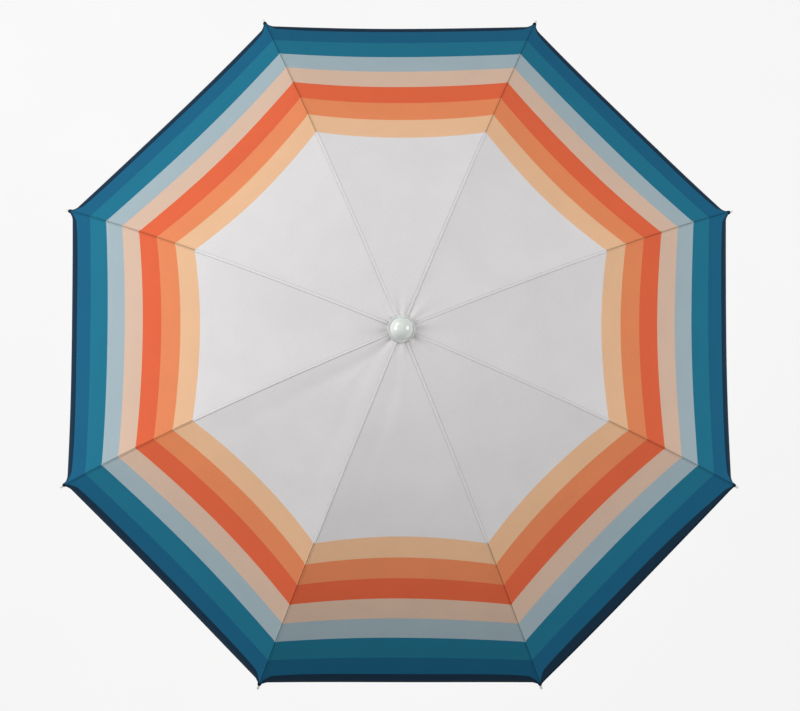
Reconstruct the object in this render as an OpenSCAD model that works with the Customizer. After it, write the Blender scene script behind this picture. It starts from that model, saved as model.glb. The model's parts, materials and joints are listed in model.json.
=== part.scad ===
// Beach umbrella: eight curved ribs on a crown, eight stretchers on a sliding runner, eight canopy panels,
// a tilting joint and a two-part pole that is pushed into the sand. The origin is on the pole's axis at the
// sand line, and +Z points up.

/* [Canopy] */
// Length of a rib along its curve, from the crown pivot to the hem
rib_len = 900; // [860:5:940]
// Slope of a rib where it leaves the crown, in degrees below level
slope_in = 2; // [1:0.5:3]
// Slope of a rib at the hem, in degrees below level
slope_out = 44; // [40:1:46]
// Thickness of a canopy panel's solid
cloth_t = 1.2; // [1:0.1:1.5]
// Diameter of the cap on top
cap_d = 57; // [52:1:64]
// Height of the cap above the cloth
cap_h = 27; // [22:1:30]

/* [Frame] */
// Diameter of the rib and stretcher rods
rod_d = 4; // [3.6:0.1:4]
// Radius of the circle of pivots at the crown and at the runner
hub_r = 18.6; // [18.4:0.1:19]
// How far along a rib its clip sits
clip_s = 431; // [420:1:440]
// Diameter of the wire rings that the rods turn on
wire_d = 2; // [1.6:0.1:2]
// Length of a rib's end knob beyond the hem
tip_out = 18; // [14:1:22]

/* [Pole] */
// Diameter of the mast and of the upper pole
mast_d = 25; // [25:0.5:25.5]
// Diameter of the lower pole
pole_d = 32; // [32:0.5:34]
// Wall of the tubes
tube_t = 1.2; // [1:0.1:1.5]
// Height of the crown pivots above the sand
crown_z = 1830; // [1820:5:1900]
// Height of the tilt pivot above the sand
tilt_z = 880; // [860:1:882]
// Height of the lower pole's top above the sand
pole_top = 620; // [600:5:625]
// How deep the lower pole's straight wall goes into the sand
buried = 230; // [200:5:300]
// Length of the spike below the lower pole
spike_l = 110; // [90:5:140]
// Width of the clamp knob
knob_w = 38; // [34:1:44]

/* [Hidden] */

$fn = 48;
run_gap = 0.3;
eps = 0.01;
n_ribs = 8;
step = 360 / n_ribs;

// Ribs: an arc in the radial plane, whose centre is under the canopy
rod_r = rod_d / 2;
arc_deg = slope_out - slope_in;
arc_r = rib_len / (arc_deg * PI / 180);
arc_x = hub_r - arc_r * sin(slope_in);
arc_z = crown_z - arc_r * cos(slope_in);
function arc_at(slope, off = 0) =
    [arc_x + (arc_r + off) * sin(slope), arc_z + (arc_r + off) * cos(slope)];
function slope_at(s) = slope_in + arc_deg * s / rib_len;

// Eyes on the wire rings, and the notches that they turn in
eye_r = 3.2;
eye_w = 4;
notch_w = eye_w + 2 * run_gap;
notch_r = hub_r - eye_r - 0.8;
eye_hole = wire_d + 0.8;
tooth_r = hub_r + 4;
tooth_up = 3.2;

// Clips: the stretcher's pivot hangs below the rib
clip_drop = 6.5;
clip_w = 3.2;
clip_r = 3.4;
sleeve_r = rod_r + 1.2;
sleeve_l = 16;
clip_slope = slope_at(clip_s);
clip_at = arc_at(clip_slope, -clip_drop);
pin_d = 2.4;

// Stretchers: as long as the way from the crown pivot to the clip's pivot, so the runner moves straight
clip_down = crown_z - clip_at[1];
reach = norm([clip_at[0] - hub_r, clip_down]);
lean = asin(clip_down / reach);
runner_z = crown_z - 2 * clip_down;
fork_in = clip_w / 2 + run_gap;
fork_t = 1.2;
fork_root = 6;

// Canopy cloth: it lies over the ribs, clear of the clips' sleeves
cloth_off = sleeve_r + run_gap;
cloth_in = 16;
cloth_slope_in = asin((cloth_in - arc_x) / arc_r);
panel_gap = 0.15;

// Mast and hubs
mast_r = mast_d / 2;
fit = 0.1;
crown_low = 14;
stud_r = 4;
slide_r = mast_r + 0.35;
collar_r = pole_d / 2 + 4.5;
runner_up = 5;
runner_low = 50;
sleeve_out = slide_r + 3;
flange_r = 21;
flange_h = 5;

// Catch: a rocker in a window of the runner
catch_w = 9;
catch_z = runner_z - 27;
catch_r = sleeve_out + 3.6;
catch_pin_r = 1.5;
lug_t = 3;
catch_up = 14;
catch_low = 17;
catch_t = 3;

// Tilt joint
knuckle_r = 17;
tongue_w = 14;
tongue_r = 13;
cheek_t = 5.5;
tilt_pin_d = 8;
upper_sole = 13;
upper_floor = 32;
upper_top = 54;
lower_sole = 14;
lower_floor = 30;
lower_end = 60;
button_r = 5;
button_z = tilt_z + 23;
button_in = 6;
button_out = 21;
button_travel = 3;

// Poles
pole_r = pole_d / 2;
foot_l = 30;
upper_low = 300;
collar_low = 35;
collar_up = 40;
knob_z = pole_top + 20;
knob_r = knob_w / 2;
knob_x = collar_r + 13;
knob_t = 14;
stem_r = 4;
plug_l = 30;
groove_h = 3;
groove_t = 0.4;

module at_rib(i) {
    rotate([0, 0, step / 2 + (i - 1) * step]) children();
}

// Turns a shape drawn in X and Y into the radial plane of X and Z
module in_plane() {
    rotate([90, 0, 0]) children();
}

// A cylinder across the radial plane, through the point p of X and Z
module across(p, r, w) {
    translate([p[0], 0, p[1]]) rotate([90, 0, 0]) cylinder(r = r, h = w, center = true);
}

module arc_rod(from, to, r) {
    translate([arc_x, 0, arc_z]) in_plane() rotate([0, 0, 90 - to])
        rotate_extrude(angle = to - from, $fn = 96) translate([arc_r, 0]) circle(r = r, $fn = 24);
}

module rib(i) {
    color("gainsboro") at_rib(i) difference() {
        union() {
            arc_rod(slope_in, slope_out, rod_r);
            across([hub_r, crown_z], eye_r, eye_w);
        }
        across([hub_r, crown_z], eye_hole / 2, eye_w + 1);
    }
}

// A smooth end knob, drilled for the rod
module rib_tip(i) {
    hold = 12;
    tip_r = rod_r + 1.2;
    end = arc_at(slope_out);
    color("ivory") at_rib(i) translate([end[0], 0, end[1]]) rotate([0, 90 + slope_out, 0]) difference() {
        union() {
            translate([0, 0, -hold]) cylinder(r = tip_r, h = hold + tip_out - tip_r);
            translate([0, 0, tip_out - tip_r]) sphere(r = tip_r);
        }
        translate([0, 0, -hold - eps]) cylinder(r = rod_r + 0.3, h = hold + fit);
    }
}

// A sleeve on the rod with a lug below it, drilled for the stretcher's pin
module rib_clip(i) {
    half = sleeve_l / 2 / arc_r * 180 / PI;
    color("silver") at_rib(i) difference() {
        union() {
            arc_rod(clip_slope - half, clip_slope + half, sleeve_r);
            across(clip_at, clip_r, clip_w);
            translate([clip_at[0], 0, clip_at[1]]) rotate([0, clip_slope, 0])
                translate([-clip_r, -clip_w / 2, 0]) cube([2 * clip_r, clip_w, clip_drop - rod_r]);
        }
        arc_rod(clip_slope - 2 * half, clip_slope + 2 * half, rod_r + fit);
        across(clip_at, pin_d / 2 + run_gap, clip_w + 1);
    }
}

// One side of a stretcher's fork: a plate with a round end, whose centre is the pin's
module fork_cheek() {
    rotate([90, 0, 0]) linear_extrude(fork_t) {
        circle(r = clip_r);
        translate([-clip_r, -fork_root - eps]) square([2 * clip_r, fork_root]);
    }
}

// A rod with an eye at the runner and a fork with its pin at the clip
module stretcher(i) {
    fork_w = 2 * (fork_in + fork_t);
    color("gainsboro") at_rib(i) difference() {
        union() {
            across([hub_r, runner_z], eye_r, eye_w);
            translate([hub_r, 0, runner_z]) rotate([0, 90 - lean, 0]) {
                cylinder(r = rod_r, h = reach - fork_root - 1, $fn = 24);
                translate([-clip_r, -fork_w / 2, reach - fork_root - 6]) cube([2 * clip_r, fork_w, 6]);
                for (side = [-1, 1])
                    translate([0, side * (fork_in + fork_t / 2) + fork_t / 2, reach]) fork_cheek();
            }
            across(clip_at, pin_d / 2, fork_w + 1.6);
        }
        across([hub_r, runner_z], eye_hole / 2, eye_w + 1);
    }
}

// One panel: a band bent like the ribs, cut to its eighth of the circle
module canopy_panel(i) {
    cut = cos(step / 2);
    n = 28;
    slopes = [for (k = [0:n]) cloth_slope_in + (slope_out - cloth_slope_in) * k / n];
    outer = [for (a = slopes) let (p = arc_at(a, cloth_off + cloth_t)) [p[0] * cut, p[1]]];
    inner = [for (k = [n:-1:0]) let (p = arc_at(slopes[k], cloth_off)) [p[0] * cut, p[1]]];
    far = 2 * rib_len;
    half = step / 2;
    color("sandybrown") rotate([0, 0, i * step]) intersection() {
        in_plane() linear_extrude(far, center = true) polygon(concat(outer, inner));
        translate([panel_gap / sin(half), 0, 0]) linear_extrude(crown_z + 100)
            polygon([[0, 0], far * [cos(half), -sin(half)], far * [cos(half), sin(half)]]);
    }
}

// A low dome over a rim that clamps the cloth, with its stud
module cap() {
    rim_z = crown_z + cloth_off + cloth_t + 0.4;
    rim_h = 4;
    dome_r = cap_d / 2 - 2.5;
    color("white") {
        translate([0, 0, rim_z]) cylinder(d = cap_d, h = rim_h);
        intersection() {
            translate([0, 0, rim_z + eps]) cylinder(r = dome_r, h = cap_h);
            translate([0, 0, rim_z + cap_h - (dome_r * dome_r + cap_h * cap_h) / (2 * cap_h)])
                sphere(r = (dome_r * dome_r + cap_h * cap_h) / (2 * cap_h), $fn = 96);
        }
        translate([0, 0, crown_z - crown_low]) cylinder(r = stud_r, h = rim_z - crown_z + crown_low + 1);
    }
}

// Cuts the eight notches and the groove of the wire ring around a hub
module hub_cuts(z, low, high) {
    for (i = [1:n_ribs])
        at_rib(i) translate([notch_r, -notch_w / 2, z - low]) cube([tooth_r, notch_w, low + high]);
    translate([0, 0, z]) rotate_extrude() {
        translate([hub_r, 0]) circle(d = wire_d + 2 * fit, $fn = 24);
        translate([hub_r, -wire_d / 2 - fit]) square([tooth_r, wire_d + 2 * fit]);
    }
}

module crown() {
    color("whitesmoke") difference() {
        union() {
            translate([0, 0, crown_z - crown_low]) cylinder(r = notch_r, h = crown_low + tooth_up);
            translate([0, 0, crown_z - 6]) cylinder(r = tooth_r, h = 6 + tooth_up);
        }
        hub_cuts(crown_z, 7, tooth_up + 1);
        translate([0, 0, crown_z - crown_low - 1]) cylinder(r = mast_r + fit, h = crown_low);
        translate([0, 0, crown_z - crown_low]) cylinder(r = stud_r + fit, h = crown_low + tooth_up + 1);
    }
}

module wire_ring(z) {
    color("silver") translate([0, 0, z]) rotate_extrude($fn = 96)
        translate([hub_r, 0]) circle(d = wire_d, $fn = 24);
}

module crown_wire() {
    wire_ring(crown_z);
}

module tube(r, low, high) {
    translate([0, 0, low]) difference() {
        cylinder(r = r, h = high - low);
        translate([0, 0, -1]) cylinder(r = r - tube_t, h = high - low + 2);
    }
}

module mast_tube() {
    color("white") tube(mast_r, tilt_z + upper_floor + fit, crown_z - 1 - fit);
}

// The sliding sleeve, notched at its top, with a window for the catch
module runner() {
    color("whitesmoke") difference() {
        union() {
            translate([0, 0, runner_z - runner_low]) cylinder(r = sleeve_out, h = runner_low + runner_up);
            translate([0, 0, runner_z - 7]) cylinder(r = tooth_r, h = 7 + tooth_up);
            translate([0, 0, runner_z - runner_low]) cylinder(r = flange_r, h = flange_h);
            for (side = [-1, 1])
                translate([side * (catch_w / 2 + run_gap + lug_t / 2) - lug_t / 2, -catch_r - 3, catch_z - 5])
                    cube([lug_t, catch_r - 5, 10]);
        }
        hub_cuts(runner_z, 6, runner_up + 1);
        translate([0, 0, runner_z - runner_low - 1]) cylinder(r = slide_r, h = runner_low + runner_up + 2);
        translate([-catch_w / 2 - run_gap, -sleeve_out - 1, catch_z + catch_up - 8])
            cube([catch_w + 2 * run_gap, sleeve_out, 9]);
        translate([0, -catch_r, catch_z]) rotate([0, 90, 0])
            cylinder(r = catch_pin_r + run_gap, h = 40, center = true, $fn = 32);
    }
}

module runner_wire() {
    wire_ring(runner_z);
}

// A rocker: the pad below is pressed, and the nose above leaves the mast
module runner_catch() {
    nose_z = catch_z + catch_up - 7;
    tail = catch_r + catch_t / 2;
    color("lightgray") difference() {
        union() {
            translate([-catch_w / 2, -tail, catch_z - catch_low])
                cube([catch_w, catch_t, catch_low + catch_up]);
            translate([0, -catch_r, catch_z]) rotate([0, 90, 0])
                cylinder(r = 2.4, h = catch_w, center = true);
            translate([0, -catch_r, catch_z]) rotate([0, 90, 0])
                cylinder(r = catch_pin_r, h = catch_w + 2 * lug_t, center = true, $fn = 32);
            translate([-catch_w / 2, -tail, nose_z]) cube([catch_w, tail, 6]);
        }
        translate([0, 0, nose_z - 1]) cylinder(r = mast_r + run_gap + 0.1, h = 8);
        translate([-catch_w, -mast_r, nose_z - 1]) cube([2 * catch_w, mast_r, 8]);
    }
}

// The tongue and the socket of the mast
module tilt_upper_knuckle() {
    color("whitesmoke") difference() {
        union() {
            across_x(tilt_z, tongue_r, tongue_w);
            translate([-tongue_w / 2, -tongue_r, tilt_z]) cube([tongue_w, 2 * tongue_r, upper_sole + 5]);
            translate([0, 0, tilt_z + upper_sole + 3])
                cylinder(r = knuckle_r, h = upper_top - upper_sole - 3);
        }
        translate([0, 0, tilt_z + upper_floor]) cylinder(r = mast_r + fit, h = upper_top);
        across_x(tilt_z, tilt_pin_d / 2 + run_gap, knuckle_r * 2);
        translate([0, -button_in + button_travel + 1, button_z]) rotate([90, 0, 0])
            cylinder(r = button_r + run_gap, h = knuckle_r);
    }
}

// A cylinder along X on the pole's axis
module across_x(z, r, w) {
    translate([0, 0, z]) rotate([0, 90, 0]) cylinder(r = r, h = w, center = true);
}

module tilt_button() {
    color("dimgray") translate([0, -button_in, button_z]) rotate([90, 0, 0]) {
        cylinder(r = button_r, h = button_out - button_in - 1);
        cylinder(r = button_r - 1, h = button_out - button_in);
    }
}

// Two cheeks around the tongue, and the socket of the upper pole
module tilt_lower_knuckle() {
    cheek_in = tongue_w / 2 + run_gap;
    color("whitesmoke") difference() {
        union() {
            translate([0, 0, tilt_z - lower_end]) cylinder(r = knuckle_r, h = lower_end - lower_sole);
            for (side = [-1, 1]) translate([side * (cheek_in + cheek_t / 2), 0, 0]) {
                across_x(tilt_z, tongue_r, cheek_t);
                translate([-cheek_t / 2, -tongue_r, tilt_z - lower_sole - 1])
                    cube([cheek_t, 2 * tongue_r, lower_sole + 1]);
            }
        }
        translate([0, 0, tilt_z - lower_end - 1]) cylinder(r = mast_r + fit, h = lower_end - lower_floor + 1);
        across_x(tilt_z, tilt_pin_d / 2 + fit, knuckle_r * 2);
    }
}

module tilt_pin() {
    span = tongue_w + 2 * (run_gap + cheek_t);
    color("silver") {
        across_x(tilt_z, tilt_pin_d / 2, span);
        for (side = [-1, 1])
            translate([side * (span / 2 + 1), 0, 0]) across_x(tilt_z, tilt_pin_d / 2 + 2, 2);
    }
}

module upper_pole() {
    color("white") tube(mast_r, upper_low, tilt_z - lower_floor - fit);
}

// A bush that guides the upper pole's lower end in the lower pole
module pole_foot() {
    color("whitesmoke") translate([0, 0, upper_low - 4]) difference() {
        cylinder(r = pole_r - tube_t - run_gap, h = foot_l);
        translate([0, 0, 4 - fit]) cylinder(r = mast_r + fit, h = foot_l);
        translate([0, 0, -1]) cylinder(r = mast_r - 4, h = foot_l);
    }
}

// The clamp collar, on top of the lower pole and around the upper one
module pole_collar() {
    boss_r = 9;
    color("whitesmoke") difference() {
        union() {
            translate([0, 0, pole_top - collar_low]) cylinder(r = collar_r, h = collar_low + collar_up);
            translate([0, 0, knob_z]) rotate([0, 90, 0]) cylinder(r = boss_r, h = collar_r + 6);
        }
        translate([0, 0, pole_top - collar_low - 1]) cylinder(r = pole_r + fit, h = collar_low + 1 + fit);
        translate([0, 0, pole_top - 1]) cylinder(r = slide_r, h = collar_up + 2);
        translate([0, 0, knob_z]) rotate([0, 90, 0]) cylinder(r = stem_r + run_gap, h = collar_r + 10);
    }
}

// A star knob with three lobes and its clamping stem
module clamp_knob() {
    lobe_r = knob_r * 0.42;
    color("dimgray") translate([0, 0, knob_z]) rotate([0, 90, 0]) {
        translate([0, 0, mast_r + 0.4]) cylinder(r = stem_r, h = knob_x - mast_r);
        translate([0, 0, knob_x - 6 + run_gap]) cylinder(r = 7.5, h = 7);
        translate([0, 0, knob_x]) {
            cylinder(r = knob_r * 0.6, h = knob_t);
            for (k = [0:2])
                rotate([0, 0, 120 * k]) translate([knob_r - lobe_r, 0, 0]) cylinder(r = lobe_r, h = knob_t);
        }
    }
}

// The groove around it marks the sand line
module lower_pole() {
    color("white") difference() {
        tube(pole_r, -buried, pole_top);
        difference() {
            cylinder(r = pole_r + 1, h = groove_h);
            translate([0, 0, -1]) cylinder(r = pole_r - groove_t, h = groove_h + 2);
        }
    }
}

// A plug in the lower pole's end, with a cone below it
module ground_spike() {
    color("dimgray") {
        translate([0, 0, -buried]) cylinder(r = pole_r - tube_t - fit, h = plug_l);
        translate([0, 0, -buried - spike_l]) cylinder(r1 = 2.5, r2 = pole_r, h = spike_l);
    }
}

canopy_panel(1);  // canopy_panel_1
canopy_panel(2);  // canopy_panel_2
canopy_panel(3);  // canopy_panel_3
canopy_panel(4);  // canopy_panel_4
canopy_panel(5);  // canopy_panel_5
canopy_panel(6);  // canopy_panel_6
canopy_panel(7);  // canopy_panel_7
canopy_panel(8);  // canopy_panel_8
rib(1);  // rib_1
rib(2);  // rib_2
rib(3);  // rib_3
rib(4);  // rib_4
rib(5);  // rib_5
rib(6);  // rib_6
rib(7);  // rib_7
rib(8);  // rib_8
rib_tip(1);  // rib_tip_1
rib_tip(2);  // rib_tip_2
rib_tip(3);  // rib_tip_3
rib_tip(4);  // rib_tip_4
rib_tip(5);  // rib_tip_5
rib_tip(6);  // rib_tip_6
rib_tip(7);  // rib_tip_7
rib_tip(8);  // rib_tip_8
rib_clip(1);  // rib_clip_1
rib_clip(2);  // rib_clip_2
rib_clip(3);  // rib_clip_3
rib_clip(4);  // rib_clip_4
rib_clip(5);  // rib_clip_5
rib_clip(6);  // rib_clip_6
rib_clip(7);  // rib_clip_7
rib_clip(8);  // rib_clip_8
stretcher(1);  // stretcher_1
stretcher(2);  // stretcher_2
stretcher(3);  // stretcher_3
stretcher(4);  // stretcher_4
stretcher(5);  // stretcher_5
stretcher(6);  // stretcher_6
stretcher(7);  // stretcher_7
stretcher(8);  // stretcher_8
cap();
crown();
crown_wire();
mast_tube();
runner();
runner_wire();
runner_catch();
tilt_upper_knuckle();
tilt_button();
tilt_lower_knuckle();
tilt_pin();
upper_pole();
pole_foot();
pole_collar();
clamp_knob();
lower_pole();
ground_spike();
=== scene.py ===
"""Beach umbrella: striped canopy, fittings, materials, camera and light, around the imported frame."""
import json
from math import asin, cos, pi, radians, sin, tan

import bpy
import numpy as np
from mathutils import Euler, Matrix, Vector


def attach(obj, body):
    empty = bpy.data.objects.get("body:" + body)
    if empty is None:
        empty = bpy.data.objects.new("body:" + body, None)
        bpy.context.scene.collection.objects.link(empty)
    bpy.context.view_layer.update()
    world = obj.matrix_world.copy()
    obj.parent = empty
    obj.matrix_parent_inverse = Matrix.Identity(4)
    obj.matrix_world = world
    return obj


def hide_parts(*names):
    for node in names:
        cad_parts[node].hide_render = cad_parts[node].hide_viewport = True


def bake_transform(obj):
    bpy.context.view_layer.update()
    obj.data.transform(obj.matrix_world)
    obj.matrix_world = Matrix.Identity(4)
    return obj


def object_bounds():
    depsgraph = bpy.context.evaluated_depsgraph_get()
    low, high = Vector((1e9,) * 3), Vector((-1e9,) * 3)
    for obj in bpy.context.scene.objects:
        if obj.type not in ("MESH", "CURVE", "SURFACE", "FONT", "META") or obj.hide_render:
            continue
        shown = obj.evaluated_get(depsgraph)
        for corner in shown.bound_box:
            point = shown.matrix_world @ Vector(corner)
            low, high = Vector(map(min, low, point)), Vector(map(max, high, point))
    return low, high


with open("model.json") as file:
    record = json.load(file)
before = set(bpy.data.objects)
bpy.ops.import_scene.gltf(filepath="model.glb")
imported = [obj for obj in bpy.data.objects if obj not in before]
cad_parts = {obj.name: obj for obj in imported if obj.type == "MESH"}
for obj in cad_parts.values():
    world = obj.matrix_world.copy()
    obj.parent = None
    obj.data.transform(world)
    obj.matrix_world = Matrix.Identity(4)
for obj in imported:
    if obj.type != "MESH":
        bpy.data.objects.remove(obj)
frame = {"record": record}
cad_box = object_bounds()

# Sizes of the frame, in metres and degrees, as the design has them
RIBS = 8
STEP = 2 * pi / RIBS
RIB_LEN = 0.900             # along a rib's curve, from its pivot to its end
SLOPE_IN = radians(2)       # a rib's slope at its pivot
SLOPE_OUT = radians(44)     # and at its end
HUB_R = 0.0186              # radius of the ribs' pivots
CROWN_Z = 1.830             # and their height
CAP_LOW = CROWN_Z + 0.0051  # underside of the cap

# The canopy
CLOTH_OFF = 0.0041    # cloth's height over the rods' middle
CLOTH_T = 0.0006      # its thickness
CLOTH_IN = 0.0165     # radius of its inner edge
HEM_SAG = 0.006       # extra sag of a tight hem between its ribs
HEM_ZONE = 0.80       # share of a rib's length where that sag begins
PANEL_SAG = 0.002     # sag halfway out
FOLD_PHASE = 2.4      # how far the folds shift from one panel to the next
PUCKER = 0.00022      # height of the ripples beside a seam
PUCKER_STEP = 0.017   # and their spacing
BOW = 0.0185          # how far the stripes bow, as a share of a rib's length
STRIPE_FROM = 0.538   # where the stripes begin, as such a share
STRIPE_W = 0.0608     # width of one stripe, as such a share
BAND_W = 0.038        # width of the navy binding
TURN_W = 0.030        # width of cloth that turns down at the edge
TURN_R = 0.040        # radius of that turn
HEM_W = 0.006         # width of the sewn hem
ROWS = 150
COLUMNS = 56

# The camera: distance and lens, turn in degrees, and shift
VIEW_DISTANCE = 4.335
VIEW_LENS = 91.3
VIEW_TURN = (-7.06, 0.64, -0.08)
VIEW_SHIFT = (-0.0019, -0.0333)

# The studio: half the floor's width, the light all round, and the lamps' place and power
FLOOR_HALF = 9
WORLD_LIGHT = 0.30
LAMP_SIZE = 2.2
LAMPS = {
    "key": ((-3.6, 0.3, 3.8), 90),
    "fill": ((3.6, 0.3, 3.8), 87),
    "back": ((-2.7, 2.7, 3.8), 55),
}

ARC_R = RIB_LEN / (SLOPE_OUT - SLOPE_IN)
ARC_X = HUB_R - ARC_R * sin(SLOPE_IN)
ARC_Z = CROWN_Z - ARC_R * cos(SLOPE_IN)
S_IN = (asin((CLOTH_IN - ARC_X) / ARC_R) - SLOPE_IN) / (SLOPE_OUT - SLOPE_IN)


# ---- Camera first ----

def add_camera():
    turn = Euler([radians(angle) for angle in VIEW_TURN]).to_matrix().transposed()
    data = bpy.data.cameras.new("camera")
    data.sensor_width = 36
    data.lens = VIEW_LENS
    data.shift_x, data.shift_y = VIEW_SHIFT
    camera = bpy.data.objects.new("camera", data)
    place = turn @ Vector((0, 0, VIEW_DISTANCE)) + Vector((0, 0, CROWN_Z + CLOTH_OFF))
    camera.matrix_world = Matrix.Translation(place) @ turn.to_4x4()
    bpy.context.scene.collection.objects.link(camera)
    bpy.context.scene.camera = camera


# ---- Mesh helpers ----

def new_object(name, points, faces):
    mesh = bpy.data.meshes.new(name)
    mesh.from_pydata([tuple(p) for p in points], [], faces)
    mesh.polygons.foreach_set("use_smooth", [True] * len(mesh.polygons))
    mesh.update()
    obj = bpy.data.objects.new(name, mesh)
    bpy.context.scene.collection.objects.link(obj)
    return obj


def grid_faces(rows, columns, closed=False):
    """Quads of a grid of points stored row by row; closed joins each row's last point to its first."""
    across = columns if closed else columns - 1
    return [
        (r * columns + c, r * columns + (c + 1) % columns,
         (r + 1) * columns + (c + 1) % columns, (r + 1) * columns + c)
        for r in range(rows - 1) for c in range(across)
    ]


def tube_object(name, rings):
    """A closed skin through rings of points, each ring an array of the same length."""
    rows, columns = len(rings), len(rings[0])
    faces = grid_faces(rows, columns, closed=True)
    faces.append(tuple(reversed(range(columns))))
    faces.append(tuple(range((rows - 1) * columns, rows * columns)))
    return new_object(name, np.concatenate(rings), faces)


def lathe(name, profile, place=Matrix.Identity(4), sides=64):
    """Turns a profile of (radius, height) about Z; a radius of 0 closes an end."""
    turn = np.arange(sides) * 2 * pi / sides
    rings = [
        np.stack([max(r, 1e-5) * np.cos(turn), max(r, 1e-5) * np.sin(turn), np.full(sides, z)], 1)
        for r, z in profile
    ]
    obj = tube_object(name, rings)
    obj.data.transform(place)
    return obj


def set_attribute(obj, name, values):
    kind = "FLOAT_VECTOR" if np.ndim(values) == 2 else "FLOAT"
    layer = obj.data.attributes.new(name, kind, "POINT")
    layer.data.foreach_set("vector" if kind == "FLOAT_VECTOR" else "value",
                           np.asarray(values, np.float32).ravel())


def arc_points(start, end, centre, radius, count):
    """Points of an arc in a lathe's profile, with angles in degrees."""
    angles = np.radians(np.linspace(start, end, count))
    return [(centre[0] + radius * cos(a), centre[1] + radius * sin(a)) for a in angles]


# ---- The canopy's surface ----

def bearing(k):
    """Direction of rib k, from +X."""
    return STEP / 2 + (k - 1) * STEP


def rib_curve(s, off=CLOTH_OFF):
    """Radius and height at the share s of a rib's length, off metres above the rod's middle."""
    slope = SLOPE_IN + (SLOPE_OUT - SLOPE_IN) * s
    return ARC_X + (ARC_R + off) * np.sin(slope), ARC_Z + (ARC_R + off) * np.cos(slope)


def seam_point(k, s, off=CLOTH_OFF):
    """The point over rib k at the share s of its length."""
    r, z = rib_curve(s, off)
    return np.stack([r * cos(bearing(k)), r * sin(bearing(k)), z], -1)


def near_rib(u):
    """From 0 along the hem to 1 at a rib, over the short stretch where the corner flares."""
    return np.clip((np.abs(u) - 0.94) / 0.06, 0, 1)


def band_width(i, u):
    """Width of the navy binding, which narrows towards the ribs, and further on panel 7's slack side."""
    slack = 0.55 * np.clip(u, 0, 1) ** 2 if i == 7 else 0.0
    return BAND_W * (1 - slack) * (1 - 0.25 * u ** 6 - 0.55 * near_rib(u) ** 1.2)


def hem_hang(i):
    """How far a panel's hem hangs and how much its binding turns down, as shares: panel 7's is slack."""
    return {5: (0.35, 0.78), 6: (0.30, 0.75), 7: (-0.6, 0.12)}.get(i, (1.0, 1.0))


def base_surface(i, u, s):
    """The straight surface between ribs i and i + 1, with u from -1 at the first to 1 at the second."""
    a, b = seam_point(i, s), seam_point(i % RIBS + 1, s)
    share = ((u + 1) / 2)[..., None]
    return a * (1 - share) + b * share


def surface_normal(i, u, s):
    du = base_surface(i, u + 0.01, s) - base_surface(i, u - 0.01, s)
    ds = base_surface(i, u, s + 0.002) - base_surface(i, u, s - 0.002)
    n = np.cross(ds, du)
    n /= np.linalg.norm(n, axis=-1, keepdims=True)
    return n * np.sign(n[..., 2:])


def sag_depth(i, u, s):
    """How far the cloth lies below the straight line between its ribs."""
    near_hem = np.clip((s - HEM_ZONE) / (1 - HEM_ZONE), 0, 1) ** 2
    hang, _ = hem_hang(i)
    return (PANEL_SAG * np.sin(pi * np.clip(s, 0, 1)) + hang * HEM_SAG * near_hem) * (1 - u ** 2)


def fold_height(i, u, s):
    """Shallow folds that spread from the cap, and a broad unevenness over the whole panel."""
    phase = FOLD_PHASE * i
    near_cap = np.exp(-np.maximum(s - 0.03, 0) / 0.035)
    sharp = (0.0008 + 0.0012 * sin(phase) ** 2) * near_cap * np.sin(pi * (u + 1) * 1.6 + phase)
    soft = 0.0006 * np.exp(-((s - 0.16) / 0.10) ** 2) * np.sin(pi * (u + 1) * 1.1 + 1.7 * phase)
    broad = 0.0011 * np.sin(2 * pi * (0.9 * s + 0.35 * u) + phase) * np.clip(s * 4, 0, 1)
    return (sharp + soft + broad) * (1 - u ** 2)


def pucker_height(i, s, to_seam):
    """Ripples along a seam, which die out within about 20 mm of it."""
    ripple = np.sin(2 * pi * s * RIB_LEN / PUCKER_STEP + 3 * FOLD_PHASE * i)
    return PUCKER * ripple * np.exp(-to_seam / 0.007) * np.clip(to_seam / 0.002, 0, 1)


def valley_depth(i, u, s, to_seam):
    """A long valley beside each seam of panels 5 and 6, which are looser near the cap."""
    depth = 0.0022 if i in (5, 6) else 0.0
    across = np.exp(-((to_seam - 0.030 - 0.05 * s) / 0.018) ** 2)
    return depth * across * np.clip(1.2 - 1.6 * s, 0, 1) * (1 - u ** 2)


def curl_depth(i, u, s):
    """How far the edge turns down, less at the corners."""
    _, turned = hem_hang(i)
    past = np.clip(s * RIB_LEN - (RIB_LEN - TURN_W), 0, None)
    return turned * past ** 2 / (2 * TURN_R) * (1 - near_rib(u) ** 1.5)


def relief(i, u, s):
    """Height of the cloth over the straight surface between its ribs, along the normal."""
    to_seam = (1 - np.abs(u)) * np.maximum(rib_curve(s)[0] * sin(STEP / 2), 1e-4)
    raised = fold_height(i, u, s) + pucker_height(i, s, to_seam)
    return raised - sag_depth(i, u, s) - curl_depth(i, u, s) - valley_depth(i, u, s, to_seam)


def cloth_surface(i, u, s, lift=0.0):
    return base_surface(i, u, s) + surface_normal(i, u, s) * (relief(i, u, s) + lift)[..., None]


def pattern_at(u, s):
    """Where a point lies on the print: straight stripes bow towards the cap between the ribs."""
    bow = BOW * np.sin(pi * np.clip(s, 0, 1) ** 1.35) ** 0.8
    return s + bow * (1 - u ** 2)


def print_attributes(obj, place, edge, tone):
    """The place on the print, the way to the navy binding, and a factor on the colour that paints light:
    below 1 painted shade, above 1 painted highlight, 1 for none.
    """
    count = len(obj.data.vertices)
    for name, value in (("print", place), ("edge", edge), ("tone", tone)):
        set_attribute(obj, name, np.broadcast_to(np.ravel(value), count))


def plain_cloth(obj, place, edge=1.0, tone=1.0):
    print_attributes(obj, place, edge, tone)
    set_attribute(obj, "weave", np.array([v.co[:] for v in obj.data.vertices]))


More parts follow.
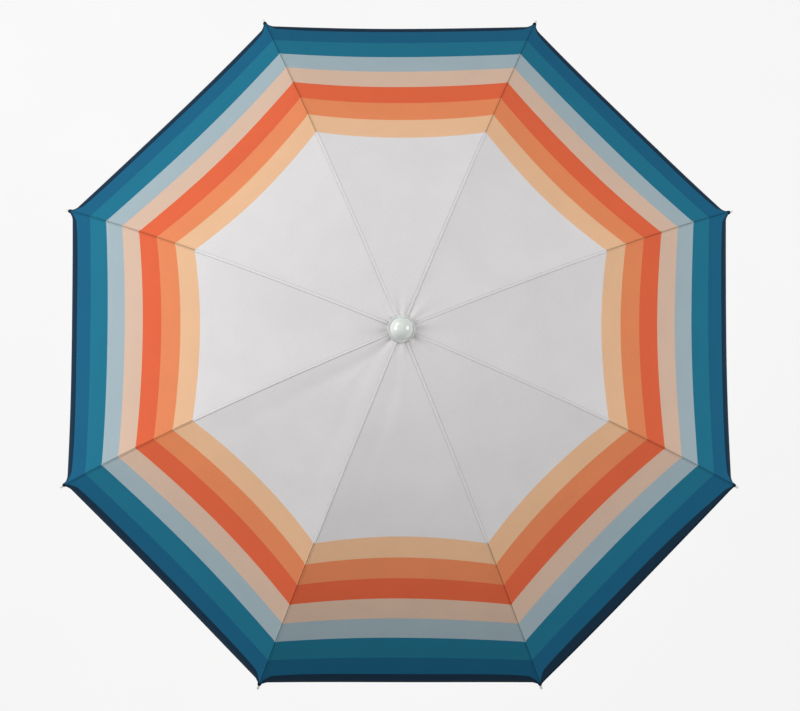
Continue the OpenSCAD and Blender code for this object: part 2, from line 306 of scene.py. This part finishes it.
def cloth_attributes(obj, i, u, s):
    half = rib_curve(s)[0] * sin(STEP / 2)
    edge = (1 - s) * RIB_LEN - band_width(i, u)
    print_attributes(obj, pattern_at(u, s), edge, 1.0)
    set_attribute(obj, "weave", np.stack([(u * half + i).ravel(), (s * RIB_LEN).ravel(), (0 * s).ravel()], 1))


def gather_with(obj):
    """Bakes the piece's placement into its mesh; the cloth is not tied to the ribs and does not follow them
    when the umbrella folds.
    """
    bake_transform(obj)


def make_panel(i):
    """One gore as a continuous sheet, with finer columns at its seams and finer rows at its edge."""
    t = np.linspace(0, 1, COLUMNS + 1)
    across = 0.35 * (2 * t - 1) - 0.65 * np.cos(pi * t)
    down = np.concatenate([np.linspace(0, 0.96, ROWS - 15), np.linspace(0.96, 1, 17)[1:]])
    u, d = np.meshgrid(across, down)
    s = S_IN + (1 - S_IN) * d
    panel = new_object(f"panel_cloth_{i}", cloth_surface(i, u, s).reshape(-1, 3),
                       grid_faces(ROWS + 1, COLUMNS + 1))
    cloth_attributes(panel, i, u, s)
    gather_with(panel)
    skin = panel.modifiers.new("thickness", "SOLIDIFY")
    skin.thickness = CLOTH_T
    skin.offset = 0
    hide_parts(f"canopy_panel_{i}")
    return panel


def make_hem(i):
    """The folded edge: a flat loop around the rim of one panel."""
    across = -np.cos(pi * np.linspace(0, 1, 2 * COLUMNS + 1)) * 0.994
    turn = [(1, 0.55), (0.75, 0.8), (0.3, 0.85), (0.05, 0.8), (-0.04, 0.35),
            (-0.04, -0.35), (0.05, -0.8), (0.3, -0.85), (0.75, -0.8), (1, -0.55)]
    back = np.array([b for b, _ in turn])
    lift = np.array([h for _, h in turn]) * 0.001
    u, b = np.meshgrid(across, back, indexing="ij")
    s = 1 - b * HEM_W / RIB_LEN
    lifts = np.broadcast_to(lift, u.shape)
    points = cloth_surface(i, u, s, lifts)
    hem = tube_object(f"hem_{i}", list(points))
    # The hem's navy is multiplied by 0.62: painted shade in its fold.
    print_attributes(hem, 1.0, -1.0, 0.62)
    half = rib_curve(s)[0] * sin(STEP / 2)
    set_attribute(hem, "weave", np.stack([(u * half + i).ravel(), (b * HEM_W).ravel(), (0 * b).ravel()], 1))
    gather_with(hem)
    return hem


def make_seam(k):
    """The felled seam on a rib: a low ridge with painted shadow lines at its edges and a painted highlight on
    top, and a tight groove along the stripes, darker partly from the doubled cloth and partly as painted
    shade.
    """
    s = np.linspace(S_IN + 0.015, 0.992, 220)
    # across the seam: place, height, and the factor on its colour on the white cloth and on the stripes; on
    # the white, a painted highlight on the ridge and painted shadow lines at its edges; on the stripes, a
    # groove darkened partly by the doubled cloth and partly as painted shade; underneath, painted shade
    outline = [(-5.2, 0.1, 0.66, 0.97), (-4.4, 0.7, 0.70, 0.97), (-3.2, 1.3, 1.06, 0.96),
               (-1.2, 1.5, 1.06, 0.78), (-0.6, 1.1, 1.04, 0.45), (0.6, 1.1, 1.04, 0.45),
               (1.2, 1.6, 1.06, 0.78), (3.2, 1.5, 1.06, 0.96), (4.4, 0.9, 0.62, 0.97),
               (5.2, 0.1, 0.58, 0.97), (3.8, -0.45, 0.8, 0.8), (-3.8, -0.45, 0.8, 0.8)]
    side = np.array([p[0] for p in outline]) * 0.00070
    lift = np.array([p[1] for p in outline]) * 0.00075
    painted_light_on_white = np.tile([p[2] for p in outline], len(s))
    doubling_and_shade_on_stripe = np.tile([p[3] for p in outline], len(s))
    slope = SLOPE_IN + (SLOPE_OUT - SLOPE_IN) * s
    drop = tan(STEP / 2) * np.sin(slope)
    along = np.array([-sin(bearing(k)), cos(bearing(k)), 0])
    rings = []
    for j, at in enumerate(s):
        thin = min(1.0, (1.0 - at) / 0.03 + 0.45)
        out = np.array([cos(bearing(k)) * sin(slope[j]), sin(bearing(k)) * sin(slope[j]), cos(slope[j])])
        pull = 1 + 0.05 * sin(at * RIB_LEN / 0.0032 * pi)
        height = lift * pull - np.abs(side) * drop[j]
        rings.append(seam_point(k, np.array(at))[None] + np.outer(side * thin, along) + np.outer(height, out))
    seam = tube_object(f"seam_{k}", rings)
    across = np.tile(side, len(s))
    at = np.repeat(s, len(side))
    # painted light along the seam: highlight and shadow lines on the white, groove shade on the stripes
    shade = np.where(at > STRIPE_FROM, doubling_and_shade_on_stripe, painted_light_on_white)
    print_attributes(seam, pattern_at(np.ones_like(at), at), 1.0, shade)
    set_attribute(seam, "weave", np.stack([across, at * RIB_LEN, 0 * at], 1))
    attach(seam, f"rib_{k}")
    return seam


def rib_frame(k, s, off=0.0):
    """A matrix at a rib: Z outwards along the rod, X up from it, Y across."""
    slope = SLOPE_IN + (SLOPE_OUT - SLOPE_IN) * s
    r, z = rib_curve(np.array(float(s)), off)
    c, t = cos(bearing(k)), sin(bearing(k))
    out = Vector((c * cos(slope), t * cos(slope), -sin(slope)))
    up = Vector((c * sin(slope), t * sin(slope), cos(slope)))
    side = out.cross(up)
    m = Matrix((up, side, out)).transposed().to_4x4()
    m.translation = (r * c, r * t, z)
    return m


def make_pocket(k):
    """The corner's sewn pocket: a short sock around the rib's end, flat on top."""
    rings = []
    turn = np.arange(20) * 2 * pi / 20
    for z, high, wide in [(-0.011, 0.0044, 0.0036), (-0.009, 0.0050, 0.0050), (-0.004, 0.0052, 0.0048),
                          (0.0015, 0.0050, 0.0043), (0.003, 0.0042, 0.0037)]:
        low = 0.0040 if z > -0.010 else 0.0036
        x = np.where(np.cos(turn) > 0, high, low) * np.cos(turn)
        rings.append(np.stack([x, wide * np.sin(turn), np.full(20, z)], 1))
    pocket = tube_object(f"corner_pocket_{k}", rings)
    pocket.data.transform(rib_frame(k, 1.0))
    # The pocket's navy is multiplied by 0.62: painted shade.
    plain_cloth(pocket, 1.0, -1.0, 0.62)
    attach(pocket, f"rib_{k}")
    return pocket


def make_tip(k):
    """The rib's end cap: a short plug with a round end."""
    profile = [(0.0, -0.012), (0.0030, -0.012), (0.0032, -0.0115), (0.0032, 0.001), (0.0029, 0.0035)]
    profile += [(0.0028, 0.008), (0.0031, 0.0115)]
    profile += arc_points(20, 90, (0, 0.01455), 0.0033, 8)
    tip = lathe(f"tip_{k}", profile, rib_frame(k, 1.0), sides=32)
    tip.data.materials.append(MATERIALS["tip_plastic"])
    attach(tip, f"rib_{k}")
    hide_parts(f"rib_tip_{k}")


def make_loops(k):
    """Cloth ties that hold the seam to the rib from below."""
    for n, s in enumerate((0.24, 0.73)):
        turn = np.arange(16) * 2 * pi / 16
        rings = []
        for z in np.linspace(-0.004, 0.004, 7):
            swell = 1 + 0.06 * cos(z / 0.004 * pi / 2)
            x = np.where(np.cos(turn) > 0, 0.0034, 0.0027) * np.cos(turn) * swell
            rings.append(np.stack([x, 0.0027 * np.sin(turn) * swell, np.full(16, z)], 1))
        loop = tube_object(f"rib_tie_{k}_{n + 1}", rings)
        loop.data.transform(rib_frame(k, s))
        plain_cloth(loop, 0.2)
        loop.data.materials.append(MATERIALS["canopy_cloth"])
        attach(loop, f"rib_{k}")


def make_cap():
    """The cap: a stepped rim under a glossy dome."""
    low = CAP_LOW
    rim_r, dome_r, dome_h = 0.0285, 0.0252, 0.0270
    ball = (dome_r ** 2 + dome_h ** 2) / (2 * dome_h)
    edge = np.degrees(asin((ball - dome_h) / ball))
    profile = [(0.0, low), (rim_r - 0.0008, low), (rim_r - 0.0002, low + 0.0003), (rim_r, low + 0.0009)]
    profile += [(rim_r, low + 0.0028), (rim_r - 0.0003, low + 0.0036), (rim_r - 0.0011, low + 0.0040)]
    profile += [(dome_r + 0.0011, low + 0.0040), (dome_r + 0.0008, low + 0.0037)]
    profile += [(dome_r + 0.0007, low + 0.0029)]
    profile += [(dome_r + 0.0002, low + 0.0029), (dome_r, low + 0.0034), (dome_r, low + 0.0049)]
    dome = arc_points(edge + 12, 90, (0, low + dome_h - ball + 0.0002), ball - 0.0002, 20)
    cap = lathe("cap_shell", profile + dome, sides=96)
    cap.data.materials.append(MATERIALS["cap_plastic"])
    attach(cap, "mast")
    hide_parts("cap")


def make_collar():
    """The gathered cloth collar around the cap's rim."""
    turn = np.arange(128) * 2 * pi / 128
    ruffle = 0.0006 * np.sin(16 * turn + 0.6 * np.sin(3 * turn)) + 0.0004 * np.sin(7 * turn)
    rings = []
    profile = [(0.0225, 0.0, 0), (0.0270, -0.0006, 0.2), (0.0290, -0.0008, 0.5), (0.0304, -0.0005, 0.8),
               (0.0308, 0.0001, 1), (0.0304, 0.0008, 1), (0.0297, 0.0013, 0.6), (0.0290, 0.0015, 0.3),
               (0.0286, 0.0012, 0), (0.0280, 0.0002, 0)]
    for r, z, move in profile:
        radius = r + ruffle * move
        rings.append(np.stack([radius * np.cos(turn), radius * np.sin(turn),
                               CAP_LOW + z + ruffle * move * 0.7 - 0.0002 * np.ones_like(turn)], 1))
    collar = tube_object("cap_collar", rings)
    # The collar's white is multiplied by 0.93: painted shade around the cap's rim.
    plain_cloth(collar, 0.2, tone=0.93)
    collar.data.materials.append(MATERIALS["canopy_cloth"])
    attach(collar, "mast")


def make_canopy():
    for i in range(1, RIBS + 1):
        pieces = [make_panel(i), make_hem(i)]
        for piece in pieces + [make_seam(i), make_pocket(i)]:
            piece.data.materials.append(MATERIALS["canopy_cloth"])
        make_tip(i)
        make_loops(i)


# ---- Materials ----

def rgb(*srgb):
    """Display values from 0 to 255 to the linear values that a shader takes."""
    scaled = [x / 255 for x in srgb]
    return [x / 12.92 if x <= 0.04045 else ((x + 0.055) / 1.055) ** 2.4 for x in scaled] + [1.0]


class Nodes:
    """A short way to build a material's node tree."""

    def __init__(self, name):
        self.material = bpy.data.materials.new(name)
        self.material.use_nodes = True
        self.tree = self.material.node_tree
        self.tree.nodes.clear()
        self.out = self.add("ShaderNodeOutputMaterial")

    def add(self, kind, inputs=None, **settings):
        node = self.tree.nodes.new(kind)
        for key, value in settings.items():
            setattr(node, key, value)
        for key, value in (inputs or {}).items():
            if isinstance(value, bpy.types.NodeSocket):
                self.tree.links.new(value, node.inputs[key])
            else:
                node.inputs[key].default_value = value
        return node

    def attribute(self, name, output="Vector"):
        return self.add("ShaderNodeAttribute", attribute_name=name).outputs[output]

    def math(self, operation, a, b=0.0):
        return self.add("ShaderNodeMath", {0: a, 1: b}, operation=operation).outputs[0]

    def noise(self, vector, scale, detail=2.0, roughness=0.5):
        inputs = {"Vector": vector, "Scale": scale, "Detail": detail, "Roughness": roughness}
        return self.add("ShaderNodeTexNoise", inputs).outputs[0]

    def stretched(self, vector, scale):
        """The same place, drawn out along the axes whose scale is small."""
        return self.add("ShaderNodeMapping", {"Vector": vector, "Scale": scale}).outputs[0]

    def ramp(self, value, stops, mode="LINEAR"):
        node = self.add("ShaderNodeValToRGB", {0: value})
        node.color_ramp.interpolation = mode
        elements = node.color_ramp.elements
        while len(elements) < len(stops):
            elements.new(0.5)
        for element, (place, colour) in zip(elements, stops):
            element.position = place
            element.color = colour
        return node.outputs[0]

    def mix(self, factor, a, b, blend="MIX"):
        node = self.add("ShaderNodeMix", {0: factor, 6: a, 7: b}, data_type="RGBA", blend_type=blend)
        return node.outputs[2]

    def bump(self, height, distance, strength=1.0, normal=None):
        inputs = {"Height": height, "Distance": distance, "Strength": strength}
        if normal is not None:
            inputs["Normal"] = normal
        return self.add("ShaderNodeBump", inputs).outputs[0]

    def object_place(self):
        return self.add("ShaderNodeTexCoord").outputs["Object"]

    def surface(self, shader):
        self.tree.links.new(shader, self.out.inputs["Surface"])
        return self.material


def cloth_material():
    """Printed polyester in a plain weave: concentric stripes, slightly translucent."""
    n = Nodes("canopy_cloth")
    ramp_end = 1.1  # the place on the print where the colour ramp ends
    colours = [rgb(236, 233, 234), rgb(246, 200, 159), rgb(244, 148, 100), rgb(239, 111, 73),
               rgb(228, 197, 175), rgb(172, 191, 199), rgb(36, 122, 150), rgb(29, 103, 139)]
    bounds = [0.0] + [STRIPE_FROM + STRIPE_W * j for j in range(7)]
    place = n.attribute("print", "Fac")
    stops = [(b / ramp_end, c) for b, c in zip(bounds, colours)]
    colour = n.ramp(n.math("DIVIDE", place, ramp_end), stops, "CONSTANT")
    on_band = n.math("LESS_THAN", n.attribute("edge", "Fac"), 0.0)
    colour = n.mix(on_band, colour, rgb(26, 54, 76))
    # The tone attribute multiplies the print's colour: painted shade on the hem, pocket, collar, seam edges
    # and groove, and a painted highlight on the seam ridges.
    tone = n.add("ShaderNodeCombineColor", {k: n.attribute("tone", "Fac") for k in range(3)}).outputs[0]
    colour = n.mix(1.0, colour, tone, "MULTIPLY")
    weave = n.attribute("weave")
    cells = n.add("ShaderNodeSeparateXYZ", {0: weave})
    thread = 2 * pi / 0.0011
    warp = n.math("SINE", n.math("MULTIPLY", cells.outputs[0], thread))
    weft = n.math("SINE", n.math("MULTIPLY", cells.outputs[1], thread))
    grid = n.math("MULTIPLY", warp, weft)
    slub = n.noise(n.stretched(weave, (1.0, 0.12, 1.0)), 900, 3)
    mottle = n.noise(weave, 11, 3)
    shade = n.ramp(slub, [(0.3, (0.90, 0.90, 0.90, 1)), (0.7, (1, 1, 1, 1))])
    colour = n.mix(0.55, colour, shade, "MULTIPLY")
    tone = n.ramp(mottle, [(0.35, (0.95, 0.95, 0.96, 1)), (0.65, (1, 1, 1, 1))])
    colour = n.mix(0.6, colour, tone, "MULTIPLY")
    height = n.math("ADD", n.math("MULTIPLY", grid, 0.5), n.math("MULTIPLY", slub, 0.7))
    normal = n.bump(height, 0.00012, 0.55)
    body = n.add("ShaderNodeBsdfPrincipled",
                 {"Base Color": colour, "Roughness": 0.85, "Specular IOR Level": 0.08, "Normal": normal})
    glow = n.add("ShaderNodeBsdfTranslucent", {"Color": colour, "Normal": normal})
    both = n.add("ShaderNodeMixShader", {0: 0.10, 1: body.outputs[0], 2: glow.outputs[0]})
    return n.surface(both.outputs[0])


def plastic_material(name, colour, roughness, grain, coat=0.0):
    """Moulded plastic: fine grain, faint flow marks and rubbed patches."""
    n = Nodes(name)
    place = n.object_place()
    flow = n.noise(place, 35, 2)
    rub = n.noise(place, 240, 4, 0.6)
    darker = [0.93 * c for c in colour[:3]] + [1.0]
    tone = n.ramp(flow, [(0.35, darker), (0.65, colour)])
    rough = n.math("ADD", roughness - 0.05, n.math("MULTIPLY", rub, 0.10))
    normal = n.bump(n.noise(place, 2600, 2), grain)
    shader = n.add("ShaderNodeBsdfPrincipled",
                   {"Base Color": tone, "Roughness": rough, "Coat Weight": coat, "Coat Roughness": 0.08,
                    "Normal": normal})
    return n.surface(shader.outputs[0])


def painted_material(name, colour):
    """Powder coat over steel: orange peel and small scuffs."""
    n = Nodes(name)
    place = n.object_place()
    peel = n.noise(place, 900, 2)
    scuff = n.noise(n.stretched(place, (1.0, 1.0, 0.08)), 160, 5, 0.7)
    marks = n.ramp(scuff, [(0.62, colour), (0.72, [0.80 * c for c in colour[:3]] + [1.0])])
    rough = n.math("ADD", 0.30, n.math("MULTIPLY", scuff, 0.18))
    normal = n.bump(peel, 0.00008)
    shader = n.add("ShaderNodeBsdfPrincipled",
                   {"Base Color": marks, "Roughness": rough, "Coat Weight": 0.25, "Coat Roughness": 0.2,
                    "Normal": normal})
    return n.surface(shader.outputs[0])


def metal_material():
    """Zinc-plated steel with a drawn grain."""
    n = Nodes("clip_metal")
    place = n.object_place()
    grain = n.noise(n.stretched(place, (1.0, 1.0, 0.1)), 1500, 3)
    tone = n.ramp(n.noise(place, 180, 3), [(0.3, rgb(150, 152, 155)), (0.7, rgb(205, 206, 208))])
    rough = n.math("ADD", 0.24, n.math("MULTIPLY", grain, 0.2))
    shader = n.add("ShaderNodeBsdfPrincipled",
                   {"Base Color": tone, "Metallic": 1.0, "Roughness": rough,
                    "Normal": n.bump(grain, 0.00005)})
    return n.surface(shader.outputs[0])


def floor_material():
    n = Nodes("floor")
    tone = n.ramp(n.noise(n.object_place(), 3, 2), [(0.3, rgb(246, 246, 246)), (0.7, rgb(250, 250, 250))])
    matt = n.add("ShaderNodeBsdfDiffuse", {"Color": tone})
    light = n.add("ShaderNodeEmission", {"Color": (1, 1, 1, 1), "Strength": 1.0})
    both = n.add("ShaderNodeMixShader", {0: 0.72, 1: matt.outputs[0], 2: light.outputs[0]})
    return n.surface(both.outputs[0])


def make_materials():
    return {
        "canopy_cloth": cloth_material(),
        "rib_rod": painted_material("rib_rod", rgb(226, 228, 228)),
        "tip_plastic": plastic_material("tip_plastic", rgb(233, 232, 222), 0.30, 0.00002, 0.2),
        "clip_metal": metal_material(),
        "cap_plastic": plastic_material("cap_plastic", rgb(233, 238, 233), 0.16, 0.000004, 0.6),
        "hub_plastic": plastic_material("hub_plastic", rgb(236, 236, 231), 0.42, 0.00003),
        "pole_paint": painted_material("pole_paint", rgb(240, 240, 238)),
        "catch_plastic": plastic_material("catch_plastic", rgb(168, 172, 174), 0.42, 0.00003),
        "knob_plastic": plastic_material("knob_plastic", rgb(52, 54, 57), 0.48, 0.00005),
        "spike_plastic": plastic_material("spike_plastic", rgb(60, 62, 64), 0.55, 0.00006),
    }


def dress_frame():
    """Gives each CAD node the material of its slot."""
    slots = {s["node"]: s["material_slot"] for s in frame["record"]["subparts"]}
    for node, slot in slots.items():
        obj = bpy.data.objects.get(node)
        if obj is None:
            continue
        obj.data.materials.clear()
        obj.data.materials.append(MATERIALS[slot])


# ---- Floor and light ----

def add_area(name, place, aim, power):
    data = bpy.data.lights.new(name, "AREA")
    data.size = LAMP_SIZE
    data.energy = power
    lamp = bpy.data.objects.new(name, data)
    lamp.location = place
    lamp.rotation_euler = (Vector(aim) - Vector(place)).to_track_quat("-Z", "Y").to_euler()
    bpy.context.scene.collection.objects.link(lamp)


def add_stage():
    low = cad_box[0][2] - 0.002
    corners = [(x * FLOOR_HALF, y * FLOOR_HALF, low) for x, y in ((-1, -1), (1, -1), (1, 1), (-1, 1))]
    floor = new_object("floor", corners, [(0, 1, 2, 3)])
    floor.data.materials.append(floor_material())
    world = bpy.data.worlds.new("studio")
    world.use_nodes = True
    world.node_tree.nodes["Background"].inputs["Color"].default_value = (1.0, 1.0, 1.0, 1)
    world.node_tree.nodes["Background"].inputs["Strength"].default_value = WORLD_LIGHT
    bpy.context.scene.world = world
    middle = (0, 0, 1.7)
    for name, (place, power) in LAMPS.items():
        add_area(name, place, middle, power)
    bpy.context.scene.view_settings.view_transform = "Standard"


add_camera()
MATERIALS = make_materials()
dress_frame()
make_canopy()
make_cap()
make_collar()
add_stage()
